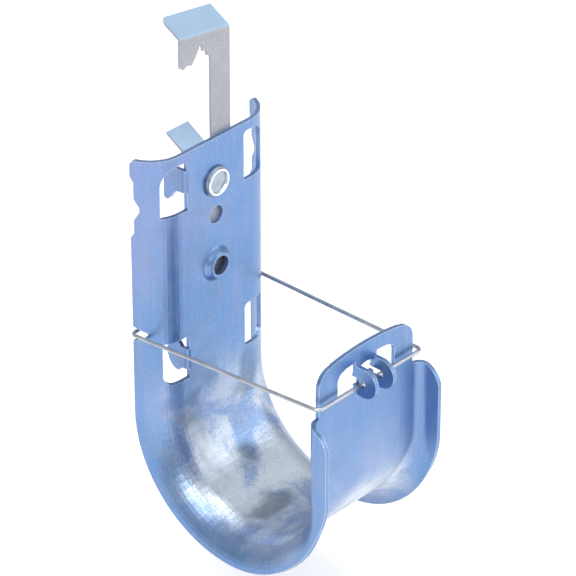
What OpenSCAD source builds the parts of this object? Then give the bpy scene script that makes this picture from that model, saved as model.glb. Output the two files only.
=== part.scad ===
// J hook cable support with a flange clip and a wire retainer.
// Millimetres. Origin: root of the jaw of the flange clip, mid-thickness.
// X runs across the hook, +Y away from the cables, Z up.

/* [Hook sheet] */

// Thickness of the hook sheet
sheet_t = 1.8; // [1:0.1:3]
// Clear width between web and lip, cable side to cable side
hook_gap = 76; // [50:1:110]
// Height of the web above the middle of the trough bend
web_rise = 112.4; // [80:0.1:150]
// Half width of the flat band of the web and trough
web_flat = 19.1; // [12:0.1:24]
// Cable side radius of the web flares
flare_r = 15.5; // [13:0.1:26]
// Depth of the free edges behind the cable side of the web
edge_depth = 12.4; // [8:0.1:13]
// Depth of the free edges at the waist of the trough
waist_depth = 9.8; // [7:0.1:12]
// Place of the waist, in degrees round the trough from the web
waist_deg = 152; // [120:1:165]
// Round on the upper outer corners of the web
web_corner = 2.5; // [0.5:0.5:4]
// Straight steps in each flare
flare_steps = 12; // [6:1:20]

/* [Lip] */

// Half width of the flat of the lip, to the flare bend
lip_flat = 27; // [20:0.1:32]
// Cable side radius of the lip flares
lip_r = 6; // [3:0.1:12]
// Turn of the lip flares in degrees
lip_deg = 88; // [60:1:90]
// Depth of the free edges of the lip in front of its cable side
lip_depth = 11.2; // [8:0.1:14]
// Angle of the trough over which the lip shape turns into the web shape
blend_deg = 38; // [10:1:80]
// Level below the web top where the pierced part of the lip ends
lip_open_z = 92; // [88:0.5:110]
// Depth of the crown of the lip below the web top
lip_top = 58.6; // [45:0.1:80]
// Radius of the arched top edge of the lip
lip_arch_r = 115; // [60:1:200]
// Half width of the lip above its shoulders
lip_half = 26.7; // [20:0.1:32]
// Corner radius at the top of the lip
lip_corner = 7.5; // [2:0.1:9]
// Depth of the lip shoulders below the web top
shoulder_z = 81; // [75:0.1:88]
// Corner radius of the lip flares
shoulder_r = 10.4; // [4:0.1:11]

/* [Lip window and ears] */

// Half width of the lip window
lwin_half = 16.2; // [10:0.1:20]
// Depth of the top of the lip window below the web top
lwin_top = 64.6; // [60:0.1:70]
// Depth of the bottom of the lip window below the web top
lwin_bot = 77; // [70:0.1:84]
// Corner radius of the lip window
lwin_corner = 4; // [1:0.1:6]
// Half distance between the outer faces of the ears
ear_half = 5.9; // [4:0.1:9]
// Radius of the round front of the ears
ear_r = 6.25; // [4:0.05:9]
// Depth of the middle of the ears below the web top
ear_z = 73; // [68:0.1:78]
// Reach of the ears in front of the cable side of the lip
ear_reach = 11.8; // [8:0.1:16]
// Depth of the middle of the ear slot below the web top
slot_z = 73.6; // [70:0.1:76]
// Height of the slot in the ears
slot_h = 3.8; // [3:0.1:6]
// Depth of the slot in the ears from the cable side of the lip
slot_d = 6.6; // [4:0.1:9]

/* [Web windows and hook tabs] */

// Half distance between the inner edges of the web windows
win_in = 15.7; // [12:0.1:20]
// Place of the outer edge of the windows on the flare in degrees
win_deg = 34.3; // [15:0.1:50]
// Depth of the top of the upper windows
uwin_top = 3.9; // [2:0.1:10]
// Depth of the bottom of the upper windows
uwin_bot = 25.3; // [18:0.1:32]
// Depth of the top of the lower windows
bwin_top = 81.5; // [75:0.1:90]
// Depth of the bottom of the lower windows
bwin_bot = 100.8; // [92:0.1:108]
// Round on the upper outer corner of the upper windows
uwin_round = 8; // [1:0.1:9]
// Round on the lower outer corner of the lower windows
bwin_round = 4.5; // [1:0.1:8]
// Round on the inner top corner of each window
win_small = 2; // [0.5:0.1:3]
// Distance of the inner faces of the hook tabs from the middle
tab_in = 15; // [12:0.1:20]
// Reach of the hook tabs behind the cable side of the web
tab_reach = 11.5; // [9:0.1:14]
// Depth of the top of the upper tab root
utab_top = 8.1; // [5:0.1:12]
// Depth of the bottom of the upper tab root
utab_bot = 17.8; // [14:0.1:22]
// Drop of the upper tab barb below its root
utab_barb = 5.6; // [2:0.1:7]
// Depth of the top of the lower tab root
btab_top = 88; // [84:0.1:92]
// Depth of the bottom of the lower tab root
btab_bot = 97; // [94:0.1:99]

/* [Web holes and free edges] */

// Depth of the rivet below the web top
rivet_z = 18.8; // [12:0.1:30]
// Depth of the small hole below the web top
small_z = 33.7; // [25:0.1:45]
// Diameter of the small hole
small_d = 7.5; // [4:0.1:10]
// Depth of the fixing hole below the web top
fix_z = 55.6; // [45:0.1:70]
// Diameter of the fixing hole
fix_d = 8.2; // [4:0.1:12]
// Base diameter of the raised ring round the fixing hole
boss_d = 15.7; // [13:0.1:20]
// Height of the raised ring
boss_h = 2.4; // [0.5:0.1:3]
// Depth of the long recess in the free edges
edge_in = 1.5; // [0.5:0.1:3]
// Depth of the nick in the long recess
nick_in = 3.8; // [2:0.1:6]
// Middle of the wire notch below the web top
notch_z = 77.2; // [70:0.1:84]
// Depth of the wire notch
notch_in = 6.1; // [4:0.1:8]
// Height of the wire notch at its mouth
notch_h = 6.4; // [4:0.1:9]

/* [Retainer] */

// Wire diameter
wire_d = 1.6; // [1:0.1:3]
// Distance of the wire bar in front of the cable side of the lip
bar_fwd = 3.9; // [2:0.1:7]
// Depth of the wire bar below the web top
bar_z = 74.6; // [68:0.1:80]
// Clear distance between the sides of the lip and the legs
leg_gap = 2; // [0.5:0.1:5]
// Bend radius of the wire, to its axis
wire_r = 2.5; // [1:0.1:5]
// Distance from the free edges of the web to where the legs cross
cross_in = 2.6; // [1.5:0.1:4]
// Depth of the legs below the middle of the notches
cross_drop = 1.1; // [0:0.1:2]
// Straight run of the legs past the flares
leg_past = 1.6; // [0.5:0.1:4]
// Straight length of the wire tips
tip_len = 3.2; // [1:0.1:8]

/* [Flange clip] */

// Thickness of the clip sheet
clip_t = 1; // [0.6:0.1:2]
// Right hand edge of the clip arm
arm_right = 10.3; // [6:0.1:14]
// Left hand edge of the clip arm
arm_left = -0.3; // [-4:0.1:3]
// Left hand edge of the clip head
head_left = -16.7; // [-22:0.1:-12]
// Height of the outer end of the head fold above the web top
head_top = 46.8; // [44:0.1:60]
// Fall of the head fold towards the arm in degrees
head_tilt = 8.6; // [0:0.1:10]
// Reach of the top flange after its bend
flange_len = 10.2; // [5:0.1:14]
// Turn of the top flange in degrees
flange_turn = 61; // [40:1:90]
// Round on the outer corner of the top flange
flange_corner = 2.5; // [0.5:0.1:4]
// Width of the lower tab of the clip
ctab_w = 11.6; // [6:0.1:13]
// Reach of the lower tab after its bend
ctab_len = 9; // [4:0.1:14]
// Turn of the lower tab in degrees
ctab_turn = 59; // [40:1:90]
// Half width of the clip plate behind the web
plate_half = 14.6; // [11:0.1:14.8]
// Depth of the end of the clip plate below the web top
plate_end = 62; // [38:0.5:80]
// Inner radius of the clip bends
clip_bend = 1; // [0.4:0.1:2]

/* [Rivet] */

// Diameter of the base of the rivet head
rivet_d = 13; // [11:0.1:16]
// Diameter of the ring on the rivet head
ring_d = 11.4; // [9:0.1:13]
// Height of the rivet head
rivet_h = 2.1; // [1.4:0.1:5]
// Diameter of the rivet shank
shank_d = 6.4; // [4:0.1:8]
// Diameter of the dish in the rivet head
dish_d = 9.5; // [4:0.1:10]
// Depth of the dish
dish_deep = 1; // [0.3:0.1:1.6]

/* [Hidden] */

$fn = 48;
trough_r = hook_gap / 2;
end_run = 0.4;
web_deg = sweep(flare_r, 90, edge_depth);
web_run = tail(flare_r, 90, edge_depth);
jaw_x = -5;
jaw_z = 41.6;
fit_gap = 0.05;
over = 6;
// Where a leg crosses the cable side of a flare, as [across, depth].
cross_deg = web_deg - (cross_in - web_run) / flare_r * 180 / PI;
cross = [web_flat + flare_r * sin(cross_deg), flare_r * (1 - cos(cross_deg))];
bar_half = lip_half + leg_gap + wire_d / 2 - wire_r;
leg_run = hook_gap + bar_fwd - wire_r + cross[1];
leg_lean = round(atan((cross[0] - bar_half - wire_r) / leg_run) * 100) / 100;
leg_fall = round(atan((notch_z + cross_drop - bar_z) / (leg_run + wire_r)) * 100) / 100;
leg_len = fine(leg_run / cos(leg_lean) / cos(leg_fall) + leg_past);

// Moves the hook frame (web top, cable side, middle) to the jaw of the clip.
module to_jaw() {
    translate([-jaw_x, -sheet_t - clip_t / 2, -jaw_z]) children();
}

module both() {
    children();
    mirror([1, 0, 0]) children();
}

function fine(v) = round(v * 1000) / 1000;
// Sweep of a flare of radius r that turns at most a degrees, and the run after it.
function sweep(r, a, depth) = min(a, acos(max(-1, 1 - (depth - end_run) / r)));
function tail(r, a, depth) = let (q = sweep(r, a, depth)) (depth - r * (1 - cos(q))) / sin(q);
// Half section of the sheet: off = 0 on the cable side, sheet_t on the far side.
function half_side(h, r, a, depth, off) = let (
    turn = sweep(r, a, depth),
    run = tail(r, a, depth)
) concat(
    [for (i = [0 : flare_steps]) let (q = turn * i / flare_steps)
        [fine(h + (r - off) * sin(q)), fine(r - (r - off) * cos(q))]],
    [[fine(h + (r - off) * sin(turn) + run * cos(turn)),
        fine(r - (r - off) * cos(turn) + run * sin(turn))]]
);
function backward(v) = [for (i = [len(v) - 1 : -1 : 0]) v[i]];
function flipx(v) = [for (p = v) [-p[0], p[1]]];
// Closed section of the sheet as [across, depth].
function section(h, r, a, depth) = let (
    near = half_side(h, r, a, depth, 0),
    far = half_side(h, r, a, depth, sheet_t)
) concat(backward(flipx(near)), near, backward(far), flipx(far));

function ease(s) = let (q = max(0, min(1, s))) q * q * (3 - 2 * q);
function mixed(a, b, s) = a + (b - a) * s;

// Sections down the lip and round the trough, as 3-D rings. The trough angle
// is 180 at the lip and 0 at the web.
straight_steps = 4;
bend_steps = 42;
waist_from = 90;
function trough_depth(q) = q < waist_deg
    ? mixed(edge_depth, waist_depth, ease((q - waist_from) / (waist_deg - waist_from)))
    : mixed(waist_depth, lip_depth, ease((q - waist_deg) / (180 - waist_deg)));
function lip_ring(s) = let (z = mixed(-lip_open_z, -web_rise, s))
    [for (p = section(lip_flat, lip_r, lip_deg, lip_depth)) [p[0], -hook_gap - p[1], fine(z)]];
function bend_ring(s) = let (
    q = 180 * (1 - s),
    k = ease((180 - q) / blend_deg)
) [for (p = section(mixed(lip_flat, web_flat, k), mixed(lip_r, flare_r, k),
        mixed(lip_deg, 90, k), trough_depth(q)))
    [p[0], fine(-trough_r + (trough_r + p[1]) * cos(q)),
        fine(-web_rise - (trough_r + p[1]) * sin(q))]];

module trough() {
    rings = concat(
        [for (i = [0 : straight_steps]) lip_ring(i / straight_steps)],
        [for (i = [1 : bend_steps]) bend_ring(i / bend_steps)]
    );
    n = len(rings);
    m = len(rings[0]);
    pts = [for (r = rings) each r];
    sides = [for (i = [0 : n - 2]) for (j = [0 : m - 1]) let (
        a = i * m + j,
        b = i * m + (j + 1) % m,
        c = b + m,
        d = a + m
    ) each [[a, d, c], [a, c, b]]];
    last = (n - 1) * m;
    start = [for (j = [0 : m / 2 - 2]) each [[j, j + 1, m - 2 - j], [j, m - 2 - j, m - 1 - j]]];
    finish = [for (f = start) [last + f[2], last + f[1], last + f[0]]];
    polyhedron(points = pts, faces = concat(start, sides, finish));
}

// Flat shape of the lip above its shoulders.
module lip_outline() {
    intersection() {
        translate([0, -lip_top - lip_arch_r]) circle(lip_arch_r, $fn = 200);
        union() {
            translate([-lip_half, -lip_open_z]) square([2 * lip_half, lip_open_z - lip_top - 2 - lip_corner]);
            translate([-lip_half + lip_corner, -lip_open_z])
                square([2 * (lip_half - lip_corner), lip_open_z - lip_top + 1]);
            for (s = [-1, 1])
                translate([s * (lip_half - lip_corner), -lip_top - 2 - lip_corner]) circle(lip_corner);
        }
    }
}

// Side shape of a lip flare, as [forward, up].
module flare_side() {
    rest = hook_gap + 1;
    translate([-rest, -lip_open_z - 1]) square([rest, lip_open_z + 1 - shoulder_z]);
    translate([-rest, -shoulder_z - shoulder_r]) circle(shoulder_r);
    translate([-rest - shoulder_r, -lip_open_z - 1])
        square([shoulder_r + 1, lip_open_z + 1 - shoulder_z - shoulder_r]);
}

module lip() {
    intersection() {
        translate([0, 0, -lip_open_z]) linear_extrude(lip_open_z - lip_top + 2)
            mirror([0, 1]) translate([0, hook_gap]) polygon(section(lip_flat, lip_r, lip_deg, lip_depth));
        union() {
            translate([0, -hook_gap + over, 0]) rotate([90, 0, 0]) linear_extrude(over + 8) lip_outline();
            both() translate([lip_half - 0.4, 0, 0]) rotate([90, 0, 90]) linear_extrude(12) flare_side();
        }
    }
}

// Shapes cut square to the flare at a given place on its sweep.
module on_flare(deg) {
    translate([web_flat, flare_r, 0]) rotate([0, 0, deg]) translate([0, over - flare_r, 0])
        rotate([90, 0, 0]) linear_extrude(2 * over) children();
}

// Corner that a rounded cut leaves standing, in the quadrant towards +x, +y.
module spandrel(r) {
    difference() {
        translate([-r, -r]) square(r + 1);
        translate([-r, -r]) circle(r);
    }
}

// Window from the flat band into the flare, with its rounds.
module web_window(top, bot, round_top, round_r) {
    wide = 9;
    difference() {
        translate([win_in, -over, -bot]) cube([web_flat - win_in + 1, 2 * over, bot - top]);
        translate([win_in, over, -top]) rotate([90, 0, 0]) linear_extrude(2 * over)
            mirror([1, 0]) spandrel(win_small);
    }
    on_flare(win_deg) difference() {
        translate([-wide, -bot]) square([wide, bot - top]);
        translate([0, round_top ? -top : -bot]) mirror([0, round_top ? 0 : 1]) spandrel(round_r);
    }
}

module edge_cuts() {
    on_flare(web_deg) translate([web_run, 0]) {
        polygon([[1, -6.2], [0, -7.1], [-edge_in, -9.6], [-edge_in, -16.7], [-nick_in, -20.3],
            [-nick_in, -22.1], [-edge_in, -26], [-edge_in, -31.6], [0, -34], [1, -34.9]]);
        // wire notch
        polygon([[1, -notch_z + notch_h / 2 + 0.5], [-1.4, -notch_z + notch_h / 2 - 0.4],
            [-notch_in + 1.2, -notch_z + 1.5], [-notch_in + 1.2, -notch_z - 1.7],
            [-1.4, -notch_z - notch_h / 2 + 0.4], [1, -notch_z - notch_h / 2 - 0.5]]);
        translate([-notch_in + 1.2, -notch_z + 0.3]) circle(1.2);
        // rounded upper corner
        spandrel(web_corner);
    }
}

module upper_tab() {
    back = tab_reach;
    tip = utab_bot + utab_barb;
    translate([tab_in, 0, 0]) rotate([90, 0, 90]) linear_extrude(sheet_t)
        polygon([[sheet_t - 0.1, -utab_top], [back - 1.5, -utab_top], [back - 0.4, -utab_top - 0.4],
            [back, -utab_top - 1.5], [back, -tip + 1], [back - 0.3, -tip + 0.3], [back - 1, -tip],
            [back - 2.1, -tip + 0.1], [back - 2.9, -tip + 0.8], [6, -utab_bot - 1.2],
            [4.6, -utab_bot - 0.4], [3, -utab_bot], [sheet_t - 0.1, -utab_bot]]);
    tab_bend(utab_top, utab_bot);
}

module lower_tab() {
    back = tab_reach - 0.4;
    translate([tab_in, 0, 0]) rotate([90, 0, 90]) linear_extrude(sheet_t)
        polygon([[sheet_t - 0.1, -btab_top], [3.4, -btab_top], [5.2, -btab_top + 2],
            [back - 1.2, -btab_top + 2], [back, -btab_top + 0.8], [back, -92.6],
            [back - 0.7, -95.6], [back - 2.2, -97.7], [back - 3.6, -98.8], [5.5, -99.2],
            [4.3, -98.3], [3.6, -btab_bot],
            [sheet_t - 0.1, -btab_bot]]);
    tab_bend(btab_top, btab_bot);
}

// Quarter round that carries the web into a tab.
module tab_bend(top, bot) {
    translate([tab_in, sheet_t, -bot]) intersection() {
        cylinder(h = bot - top, r = sheet_t);
        translate([0, -sheet_t, 0]) cube([sheet_t, sheet_t, bot - top]);
    }
    translate([tab_in - 0.6, 0, -bot]) cube([0.6, sheet_t, bot - top]);
}

// Room for the bend at the root of a tab.
module tab_room(top, bot) {
    translate([tab_in, -over, -bot]) cube([2 * sheet_t, 2 * over, bot - top]);
}

module ear() {
    y_mid = hook_gap + ear_reach - ear_r;
    translate([ear_half - sheet_t, 0, 0]) rotate([90, 0, 90]) linear_extrude(sheet_t) difference() {
        union() {
            translate([-y_mid, -ear_z]) circle(ear_r);
            translate([-y_mid, -ear_z]) square([y_mid - hook_gap, ear_r]);
            polygon([[-y_mid, -ear_z], [-y_mid, -ear_z - ear_r], [-hook_gap - 3, -ear_z - ear_r + 0.1],
                [-hook_gap - 2.1, -ear_z - ear_r + 1], [-hook_gap - 2.1, -ear_z]]);
        }
        translate([-hook_gap - slot_d + slot_h / 2, -slot_z - slot_h / 2])
            square([slot_d - slot_h / 2 + 1, slot_h]);
        translate([-hook_gap - slot_d + slot_h / 2, -slot_z]) circle(slot_h / 2);
    }
}

module lip_window() {
    strip_low = 2.4;
    difference() {
        intersection() {
            translate([0, -lwin_top - lip_arch_r]) circle(lip_arch_r, $fn = 200);
            union() {
                translate([-lwin_half, -lwin_bot]) square([2 * lwin_half, lwin_bot - lwin_top - lwin_corner]);
                translate([-lwin_half + lwin_corner, -lwin_bot])
                    square([2 * (lwin_half - lwin_corner), lwin_bot - lwin_top + 1]);
                for (s = [-1, 1])
                    translate([s * (lwin_half - lwin_corner), -lwin_top - 1 - lwin_corner]) circle(lwin_corner);
            }
        }
        // strip that carries the ears
        difference() {
            translate([-ear_half, -slot_z + slot_h / 2 + 0.4]) square([2 * ear_half, 12]);
            translate([0, -lwin_top - strip_low - 7]) circle(7);
        }
        // tongue between the ears
        translate([-ear_half + 2, -lwin_bot - 1]) square([2 * (ear_half - 2), lwin_bot + 1 - 72.6]);
    }
}

// Half profile of the drawn ring, from its foot to the hole, as [radius, height].
function ring_side(foot, top_r) = [for (i = [0 : 10]) let (s = i / 10)
    [mixed(foot, top_r, s), boss_h * ease(s)]];

module fixing_ring() {
    translate([0, 0, -fix_z]) rotate([90, 0, 0]) rotate_extrude()
        polygon(concat([[0, -0.3], [boss_d / 2, -0.3]],
            ring_side(boss_d / 2, fix_d / 2 + 0.7), [[0, boss_h]]));
}

// Hollow behind the drawn ring.
module fixing_hollow() {
    foot = boss_d / 2 - sheet_t * 0.55;
    translate([0, sheet_t, -fix_z]) rotate([90, 0, 0]) rotate_extrude()
        polygon(concat([[0, -over], [foot, -over], [foot, 0]],
            [for (i = [1 : 10]) let (s = i / 10) [mixed(foot, fix_d / 2 + 0.2, s), boss_h * ease(s)]],
            [[0, boss_h]]));
}

module web() {
    difference() {
        union() {
            translate([0, 0, -web_rise]) linear_extrude(web_rise)
                polygon(section(web_flat, flare_r, 90, edge_depth));
            fixing_ring();
        }
        both() web_window(uwin_top, uwin_bot, true, uwin_round);
        both() web_window(bwin_top, bwin_bot, false, bwin_round);
        both() tab_room(utab_top, utab_bot);
        both() tab_room(btab_top, btab_bot);
        both() edge_cuts();
        translate([0, over, -rivet_z]) rotate([90, 0, 0]) cylinder(h = 2 * over, d = shank_d + 2 * fit_gap);
        translate([0, over, -small_z]) rotate([90, 0, 0]) cylinder(h = 2 * over, d = small_d);
        translate([0, over, -fix_z]) rotate([90, 0, 0]) cylinder(h = 2 * over, d = fix_d);
        fixing_hollow();
    }
    both() upper_tab();
    both() lower_tab();
}

module pierced_lip() {
    difference() {
        lip();
        translate([0, -hook_gap + over, 0]) rotate([90, 0, 0]) linear_extrude(over + 8) lip_window();
    }
    both() ear();
}

module hook() {
    color([0.45, 0.6, 0.82]) to_jaw() {
        web();
        trough();
        pierced_lip();
    }
}

// One leg of the wire, drawn in its own plane with the bar along X.
module wire_half() {
    turn = 90 - leg_lean;
    rotate([0, 90, 0]) cylinder(h = bar_half, d = wire_d);
    translate([bar_half, wire_r, 0]) rotate([0, 0, -90]) rotate_extrude(angle = turn)
        translate([wire_r, 0]) circle(d = wire_d);
    translate([bar_half, wire_r, 0]) rotate([0, 0, -leg_lean]) translate([wire_r, 0, 0]) {
        rotate([-90, 0, 0]) cylinder(h = leg_len, d = wire_d);
        translate([-wire_r, leg_len, 0]) {
            rotate_extrude(angle = 90 + leg_lean) translate([wire_r, 0]) circle(d = wire_d);
            rotate([0, 0, 90 + leg_lean]) translate([wire_r, 0, 0]) rotate([-90, 0, 0])
                cylinder(h = tip_len, d = wire_d);
        }
    }
}

module retainer() {
    color([0.6, 0.62, 0.66]) to_jaw() translate([0, -hook_gap - bar_fwd, -bar_z])
        rotate([-leg_fall, 0, 0]) both() wire_half();
}

// Side section of a bend in the clip, as [back, up], starting at a plate top.
module clip_turn(turn, reach) {
    outer = clip_bend + clip_t;
    translate([outer, 0]) {
        intersection() {
            difference() {
                circle(outer);
                circle(clip_bend);
            }
            polygon([[0, 0], [-4 * outer, 0], [-4 * outer * cos(turn / 2), 4 * outer * sin(turn / 2)],
                [-4 * outer * cos(turn), 4 * outer * sin(turn)]]);
        }
        translate([-outer, -0.6]) square([clip_t, 0.61]);
        rotate(-turn) translate([-outer, -0.01]) square([clip_t, reach]);
    }
}

module clip_plate() {
    low = 1.2;
    head_low = head_top - (arm_right - head_left) * tan(head_tilt);
    polygon([
        [-plate_half, -low], [-plate_half, -plate_end + 3], [-plate_half + 3, -plate_end],
        [plate_half - 3, -plate_end], [plate_half, -plate_end + 3], [plate_half, -4],
        [arm_right, -3],
        [arm_right, head_low], [head_left, head_top],
        [head_left - 0.1, 35.6], [-15, 34.4], [-13, 35.4], [-10.6, 34.6], [-8.8, 36.5],
        [-6.7, 39.8], [-5.9, 41.4], [jaw_x, jaw_z + 0.3], [-4.5, 38.3], [-2.7, 38.7],
        [-2.3, 35.8], [arm_left, 35],
        [arm_left, -low - 1.5], [-4.1, -low - 1.5], [-4.1, -low]
    ]);
}

// Top flange: its fold falls towards the arm, and its sides stay upright.
module head_flange() {
    wide = arm_right - head_left;
    reach = (clip_bend + clip_t) * (1 - cos(flange_turn)) + flange_len * sin(flange_turn);
    intersection() {
        translate([head_left, sheet_t, head_top]) rotate([0, head_tilt, 0]) rotate([90, 0, 90])
            translate([0, 0, -over]) linear_extrude(wide + 2 * over) clip_turn(flange_turn, flange_len);
        translate([head_left, 0, 0]) difference() {
            cube([wide, 40, head_top + 20]);
            translate([0, sheet_t + reach, 0]) linear_extrude(head_top + 20)
                mirror([1, 0]) spandrel(flange_corner);
        }
    }
}

module flange_clip() {
    tab_right = -4.1;
    color([0.72, 0.73, 0.76]) to_jaw() difference() {
        union() {
            translate([0, sheet_t + clip_t, 0]) rotate([90, 0, 0]) linear_extrude(clip_t) clip_plate();
            head_flange();
            translate([tab_right - ctab_w, sheet_t, -1.2]) rotate([90, 0, 90])
                linear_extrude(ctab_w) clip_turn(ctab_turn, ctab_len);
        }
        translate([0, over, -rivet_z]) rotate([90, 0, 0]) cylinder(h = 2 * over, d = shank_d + 2 * fit_gap);
    }
}

module rivet() {
    lip_h = 0.8;
    back = sheet_t + clip_t;
    color([0.85, 0.86, 0.88]) to_jaw() translate([0, 0, -rivet_z]) rotate([90, 0, 0]) difference() {
        union() {
            cylinder(h = lip_h, d = rivet_d);
            translate([0, 0, lip_h]) cylinder(h = 0.3, d1 = rivet_d, d2 = ring_d);
            cylinder(h = rivet_h - 0.3, d = ring_d);
            translate([0, 0, rivet_h - 0.3]) cylinder(h = 0.3, d1 = ring_d, d2 = ring_d - 0.6);
            translate([0, 0, -back]) cylinder(h = back + 0.1, d = shank_d);
            translate([0, 0, -back - 1.4]) cylinder(h = 1.4, d1 = shank_d + 1, d2 = shank_d + 3);
        }
        translate([0, 0, rivet_h - dish_deep]) cylinder(h = dish_deep + 0.01, d1 = dish_d - 0.8, d2 = dish_d);
    }
}

hook();
retainer();
flange_clip();
rivet();
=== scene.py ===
import math

import bpy
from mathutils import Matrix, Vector


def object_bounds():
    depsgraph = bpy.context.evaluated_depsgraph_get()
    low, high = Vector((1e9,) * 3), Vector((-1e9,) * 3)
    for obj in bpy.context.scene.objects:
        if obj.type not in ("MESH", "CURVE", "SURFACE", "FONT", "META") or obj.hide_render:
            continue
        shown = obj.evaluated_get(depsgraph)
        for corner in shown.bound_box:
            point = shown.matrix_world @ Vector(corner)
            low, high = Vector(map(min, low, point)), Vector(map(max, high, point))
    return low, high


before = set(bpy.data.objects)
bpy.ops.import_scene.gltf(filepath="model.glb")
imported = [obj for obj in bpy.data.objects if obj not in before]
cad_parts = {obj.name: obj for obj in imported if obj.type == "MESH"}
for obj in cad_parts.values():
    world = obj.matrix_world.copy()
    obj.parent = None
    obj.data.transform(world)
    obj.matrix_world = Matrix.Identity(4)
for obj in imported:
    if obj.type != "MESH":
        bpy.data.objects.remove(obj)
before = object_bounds()

MM = 0.001
# Web top, cable side, middle of the hook, in the part's own frame.
HOOK0 = Vector((5.0, -2.3, -41.6)) * MM
MID_X = 0.005
# The painted reflections and painted shade of the trough fade in between these heights.
TROUGH_PAINT_TOP, TROUGH_PAINT_FULL = -0.132, -0.172
# They end across the flares, and in front of the cable side of the lip.
TROUGH_PAINT_OUT, TROUGH_PAINT_IN = 0.034, 0.024
LIP_FRONT, LIP_BACK = -0.081, -0.077
RIVET_DROP = 0.0604
FLOOR_DROP = 0.03
BEVEL = {"retainer": 0.02 * MM}
BEVEL_OTHER = 0.12 * MM


def place(x, y, z):
    return HOOK0 + Vector((x, y, z)) * MM


# ---------------------------------------------------------------- nodes
class Tree:
    def __init__(self, name):
        self.mat = bpy.data.materials.new(name)
        self.mat.use_nodes = True
        self.nt = self.mat.node_tree
        self.nt.nodes.clear()
        self.out = self.nt.nodes.new("ShaderNodeOutputMaterial")

    def node(self, kind, inputs=None, **props):
        n = self.nt.nodes.new(kind)
        for k, v in props.items():
            setattr(n, k, v)
        for k, v in (inputs or {}).items():
            s = n.inputs[k]
            if isinstance(v, bpy.types.NodeSocket):
                self.nt.links.new(v, s)
            else:
                s.default_value = v
        return n

    def noise(self, coords, scale, detail=3.0, rough=0.5, dist=0.0):
        return self.node("ShaderNodeTexNoise", {"Vector": coords, "Scale": scale, "Detail": detail,
                                                "Roughness": rough, "Distortion": dist}).outputs["Fac"]

    def ramp(self, fac, stops):
        n = self.node("ShaderNodeValToRGB", {"Fac": fac})
        r = n.color_ramp
        while len(r.elements) > 1:
            r.elements.remove(r.elements[-1])
        for i, (p, c) in enumerate(stops):
            e = r.elements[0] if i == 0 else r.elements.new(p)
            e.position = p
            e.color = (*c, 1) if len(c) == 3 else c
        return n.outputs["Color"]

    def math(self, op, a, b=0.0, c=None, clamp=False):
        n = self.node("ShaderNodeMath", operation=op, use_clamp=clamp)
        for i, v in enumerate((a, b) if c is None else (a, b, c)):
            if isinstance(v, bpy.types.NodeSocket):
                self.nt.links.new(v, n.inputs[i])
            else:
                n.inputs[i].default_value = v
        return n.outputs[0]

    def mix(self, fac, a, b, blend="MIX"):
        n = self.node("ShaderNodeMix", data_type="RGBA", blend_type=blend)
        for k, v in ((0, fac), (6, a), (7, b)):
            if isinstance(v, bpy.types.NodeSocket):
                self.nt.links.new(v, n.inputs[k])
            else:
                n.inputs[k].default_value = (*v, 1) if isinstance(v, tuple) and len(v) == 3 else v
        return n.outputs[2]

    def coords(self):
        return self.node("ShaderNodeTexCoord").outputs["Object"]

    def range(self, v, a, b, c, d):
        return self.node("ShaderNodeMapRange", {"Value": v, "From Min": a, "From Max": b,
                                                "To Min": c, "To Max": d}).outputs["Result"]

    def bump(self, height, strength, distance, normal=None):
        ins = {"Height": height, "Strength": strength, "Distance": distance}
        if normal is not None:
            ins["Normal"] = normal
        return self.node("ShaderNodeBump", ins).outputs["Normal"]

    def shade(self, **inputs):
        n = self.node("ShaderNodeBsdfPrincipled", {k.replace("_", " "): v for k, v in inputs.items()})
        self.nt.links.new(n.outputs[0], self.out.inputs["Surface"])
        return self.mat


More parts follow.
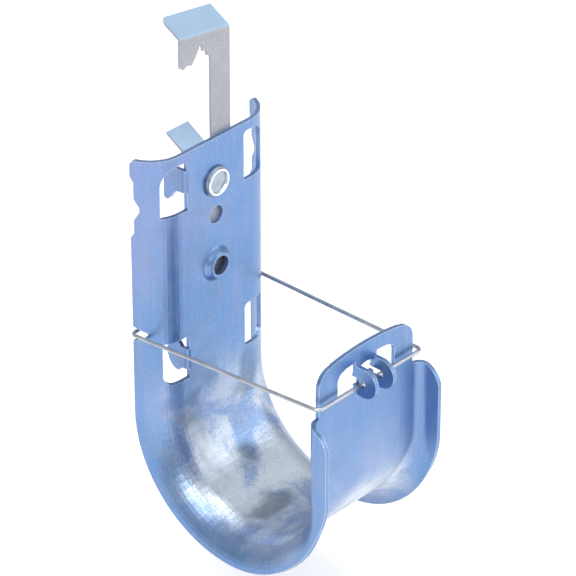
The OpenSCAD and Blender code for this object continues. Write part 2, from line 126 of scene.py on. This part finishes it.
def zinc():
    t = Tree("zinc_blue")
    c = t.coords()
    broad = t.noise(c, 22, 2, 0.5)
    mid = t.noise(c, 120, 4, 0.55, 0.3)
    fine = t.noise(c, 1100, 3, 0.6)
    # rolling streaks, long up the sheet
    drawn = t.node("ShaderNodeMapping", {"Vector": c, "Scale": (1.0, 1.0, 0.05)}).outputs["Vector"]
    streak = t.noise(drawn, 420, 3, 0.6)
    base = t.ramp(broad, [(0.3, (0.12, 0.26, 0.52)),
                          (0.5, (0.16, 0.29, 0.55)),
                          (0.72, (0.23, 0.31, 0.57))])
    base = t.mix(t.range(mid, 0.35, 0.75, 0.0, 0.35), base, (0.26, 0.33, 0.47))
    base = t.mix(t.range(streak, 0.5, 0.75, 0.0, 0.32), base, (0.36, 0.36, 0.52))
    base = t.mix(t.range(fine, 0.55, 0.8, 0.0, 0.4), base, (0.44, 0.50, 0.66))
    # painted highlight along the cut edges and bends
    edge = t.node("ShaderNodeBevel", {"Radius": 0.0004}, samples=4).outputs["Normal"]
    flat = t.node("ShaderNodeNewGeometry").outputs["Normal"]
    turn = t.node("ShaderNodeVectorMath", {0: edge, 1: flat}, operation="DOT_PRODUCT").outputs["Value"]
    painted_edge_highlight = t.range(turn, 0.8, 0.97, 1.0, 0.0)
    # painted highlight: pale colour mixed in at the edges
    base = t.mix(painted_edge_highlight, base, (0.80, 0.83, 0.90))
    # painted reflections (light patches) and painted shade (dark patches) in the trough
    sep = t.node("ShaderNodeSeparateXYZ", {"Vector": c})
    low = t.range(sep.outputs["Z"], TROUGH_PAINT_TOP, TROUGH_PAINT_FULL, 0.0, 1.0)
    across = t.math("ABSOLUTE", t.math("SUBTRACT", sep.outputs["X"], MID_X))
    inner = t.range(across, TROUGH_PAINT_OUT, TROUGH_PAINT_IN, 0.0, 1.0)
    behind = t.range(sep.outputs["Y"], LIP_FRONT, LIP_BACK, 0.0, 1.0)
    patch = t.range(t.noise(c, 46, 3, 0.55, 0.6), 0.42, 0.62, 0.0, 1.0)
    grain = t.range(t.noise(c, 1500, 4, 0.7), 0.35, 0.65, 0.0, 1.0)
    trough_paint_mask = t.math("MULTIPLY", t.math("MULTIPLY", low, inner), behind)
    speckle = t.range(t.math("ADD", patch, grain), 0.5, 1.5, 0.1, 0.85)
    painted_trough_reflection = t.math("MULTIPLY", trough_paint_mask, speckle)
    # painted reflection: light patches in the trough
    base = t.mix(painted_trough_reflection, base, (0.66, 0.70, 0.74))
    # painted shade: dark patches in the trough
    painted_trough_shade = t.math("MULTIPLY", trough_paint_mask, t.range(t.noise(c, 60, 2, 0.5), 0.52, 0.66, 0.0, 0.6))
    base = t.mix(painted_trough_shade, base, (0.05, 0.085, 0.14))
    rough = t.range(mid, 0.3, 0.7, 0.27, 0.42)
    n1 = t.bump(t.noise(c, 420, 3, 0.6), 0.22, 0.0003)
    n2 = t.bump(fine, 0.2, 0.0002, n1)
    return t.shade(Base_Color=base, Metallic=0.8, Roughness=rough, Normal=n2)


def clip_steel():
    t = Tree("clip_grey")
    c = t.coords()
    a = t.noise(c, 60, 3, 0.5)
    b = t.noise(c, 900, 3, 0.6)
    base = t.ramp(a, [(0.3, (0.33, 0.34, 0.37)), (0.7, (0.43, 0.43, 0.47))])
    base = t.mix(t.range(b, 0.45, 0.75, 0.0, 0.4), base, (0.54, 0.54, 0.60))
    # painted sky-blue light on the faces that look up
    normal = t.node("ShaderNodeTexCoord").outputs["Normal"]
    upward_for_painted_light = t.node("ShaderNodeSeparateXYZ", {"Vector": normal}).outputs["Z"]
    base = t.mix(t.range(upward_for_painted_light, 0.2, 0.6, 0.0, 0.85), base, (0.38, 0.56, 0.76))
    return t.shade(Base_Color=base, Metallic=0.5, Roughness=t.range(a, 0.3, 0.7, 0.42, 0.55),
                   Normal=t.bump(b, 0.15, 0.0002))


def wire_steel():
    t = Tree("wire_steel")
    c = t.coords()
    a = t.noise(c, 150, 3, 0.5)
    base = t.ramp(a, [(0.3, (0.40, 0.42, 0.46)), (0.7, (0.56, 0.58, 0.62))])
    return t.shade(Base_Color=base, Metallic=0.9, Roughness=t.range(a, 0.3, 0.7, 0.25, 0.4),
                   Normal=t.bump(t.noise(c, 1200, 2), 0.1, 0.0001))


def rivet_chrome():
    t = Tree("rivet_bright")
    c = t.coords()
    a = t.noise(c, 300, 3, 0.5)
    base = t.ramp(a, [(0.3, (0.30, 0.36, 0.44)), (0.7, (0.46, 0.51, 0.58))])
    # painted highlight ring and painted shade at the foot, by distance from the middle of the rivet
    d = t.node("ShaderNodeSeparateXYZ", {"Vector": c})
    dx = t.math("SUBTRACT", d.outputs["X"], MID_X)
    dz = t.math("ADD", d.outputs["Z"], RIVET_DROP)
    away = t.math("SQRT", t.math("ADD", t.math("MULTIPLY", dx, dx), t.math("MULTIPLY", dz, dz)))
    painted_ring_highlight = t.math("MULTIPLY", t.range(away, 0.0043, 0.0047, 0.0, 1.0),
                  t.range(away, 0.0056, 0.0059, 1.0, 0.0))
    # painted highlight: bright ring on the rivet head
    base = t.mix(painted_ring_highlight, base, (0.82, 0.86, 0.92))
    # painted shade: dark band round the foot of the rivet
    painted_foot_shade = t.range(away, 0.0056, 0.0060, 0.0, 0.7)
    base = t.mix(painted_foot_shade, base, (0.09, 0.15, 0.25))
    return t.shade(Base_Color=base, Metallic=0.85, Roughness=t.range(a, 0.3, 0.7, 0.24, 0.38))


looks = {"hook": zinc(), "flange_clip": clip_steel(),
         "retainer": wire_steel(), "rivet": rivet_chrome()}
for name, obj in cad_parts.items():
    obj.data.materials.clear()
    obj.data.materials.append(looks[name])
    for p in obj.data.polygons:
        p.use_smooth = True
    edge = obj.modifiers.new("bevel", "BEVEL")
    edge.width = BEVEL.get(name, BEVEL_OTHER)
    edge.segments = 2
    edge.limit_method = "ANGLE"
    edge.angle_limit = math.radians(40)
    edge.harden_normals = True

# ---------------------------------------------------------------- camera
cam = bpy.data.objects.new("camera", bpy.data.cameras.new("camera"))
bpy.context.collection.objects.link(cam)
eye = place(-957.9, -917.7, 746.0)
aim = place(2.64, -35.07, -53.59)
cam.location = eye
cam.rotation_euler = (aim - eye).to_track_quat("-Z", "Y").to_euler()
cam.data.lens = 250
cam.data.sensor_width = 36
cam.data.clip_start, cam.data.clip_end = 0.05, 20
bpy.context.scene.camera = cam

# ---------------------------------------------------------------- stage
bpy.ops.mesh.primitive_plane_add(size=6, location=(0, 0, before[0].z - FLOOR_DROP))
floor = bpy.context.object
floor.name = "floor"
t = Tree("floor_pale")
diff = t.node("ShaderNodeBsdfDiffuse", {"Color": (0.82, 0.82, 0.82, 1)})
glow = t.node("ShaderNodeEmission", {"Color": (1, 1, 1, 1), "Strength": 0.42})
path = t.node("ShaderNodeLightPath")
seen = t.math("MAXIMUM", path.outputs["Is Camera Ray"], path.outputs["Is Glossy Ray"])
none = t.node("ShaderNodeEmission", {"Color": (0, 0, 0, 1), "Strength": 0.0})
pick = t.node("ShaderNodeMixShader", {0: seen, 1: none.outputs[0], 2: glow.outputs[0]})
add = t.node("ShaderNodeAddShader", {0: diff.outputs[0], 1: pick.outputs[0]})
t.nt.links.new(add.outputs[0], t.out.inputs["Surface"])
floor.data.materials.append(t.mat)

def studio_world():
    """White to the camera, and a soft grey dome, brighter overhead, to everything else."""
    world = bpy.data.worlds.new("studio")
    bpy.context.scene.world = world
    world.use_nodes = True
    nodes, links = world.node_tree.nodes, world.node_tree.links
    nodes.clear()
    out = nodes.new("ShaderNodeOutputWorld")
    dome = nodes.new("ShaderNodeBackground")
    white = nodes.new("ShaderNodeBackground")
    pick = nodes.new("ShaderNodeMixShader")
    path = nodes.new("ShaderNodeLightPath")
    coords = nodes.new("ShaderNodeTexCoord")
    split = nodes.new("ShaderNodeSeparateXYZ")
    height = nodes.new("ShaderNodeMapRange")
    shades = nodes.new("ShaderNodeValToRGB")
    height.inputs["From Min"].default_value = -1
    height.inputs["From Max"].default_value = 1
    ramp = shades.color_ramp
    ramp.elements[0].position, ramp.elements[0].color = 0.0, (0.5, 0.5, 0.52, 1)
    ramp.elements[1].position, ramp.elements[1].color = 1.0, (1.0, 1.0, 1.0, 1)
    for at, color in ((0.5, (0.42, 0.44, 0.48, 1)), (0.66, (0.66, 0.68, 0.72, 1))):
        ramp.elements.new(at).color = color
    dome.inputs["Strength"].default_value = 0.75
    white.inputs["Color"].default_value = (1, 1, 1, 1)
    links.new(coords.outputs["Generated"], split.inputs[0])
    links.new(split.outputs["Z"], height.inputs["Value"])
    links.new(height.outputs["Result"], shades.inputs["Fac"])
    links.new(shades.outputs["Color"], dome.inputs["Color"])
    links.new(path.outputs["Is Camera Ray"], pick.inputs[0])
    links.new(dome.outputs[0], pick.inputs[1])
    links.new(white.outputs[0], pick.inputs[2])
    links.new(pick.outputs[0], out.inputs["Surface"])


studio_world()


def lamp(name, pos, at, size, power):
    d = bpy.data.lights.new(name, "AREA")
    d.size = size
    d.energy = power
    o = bpy.data.objects.new(name, d)
    bpy.context.collection.objects.link(o)
    o.location = pos
    o.rotation_euler = (at - pos).to_track_quat("-Z", "Y").to_euler()


mid = place(0, -38, -80)
lamp("key", mid + Vector((-0.9, -0.5, 1.1)), mid, 0.9, 9)
lamp("fill", mid + Vector((0.7, -1.2, 0.5)), mid, 1.1, 6)
lamp("top", mid + Vector((0.1, -0.1, 1.5)), mid, 1.0, 8)

bpy.context.scene.view_settings.view_transform = "Standard"
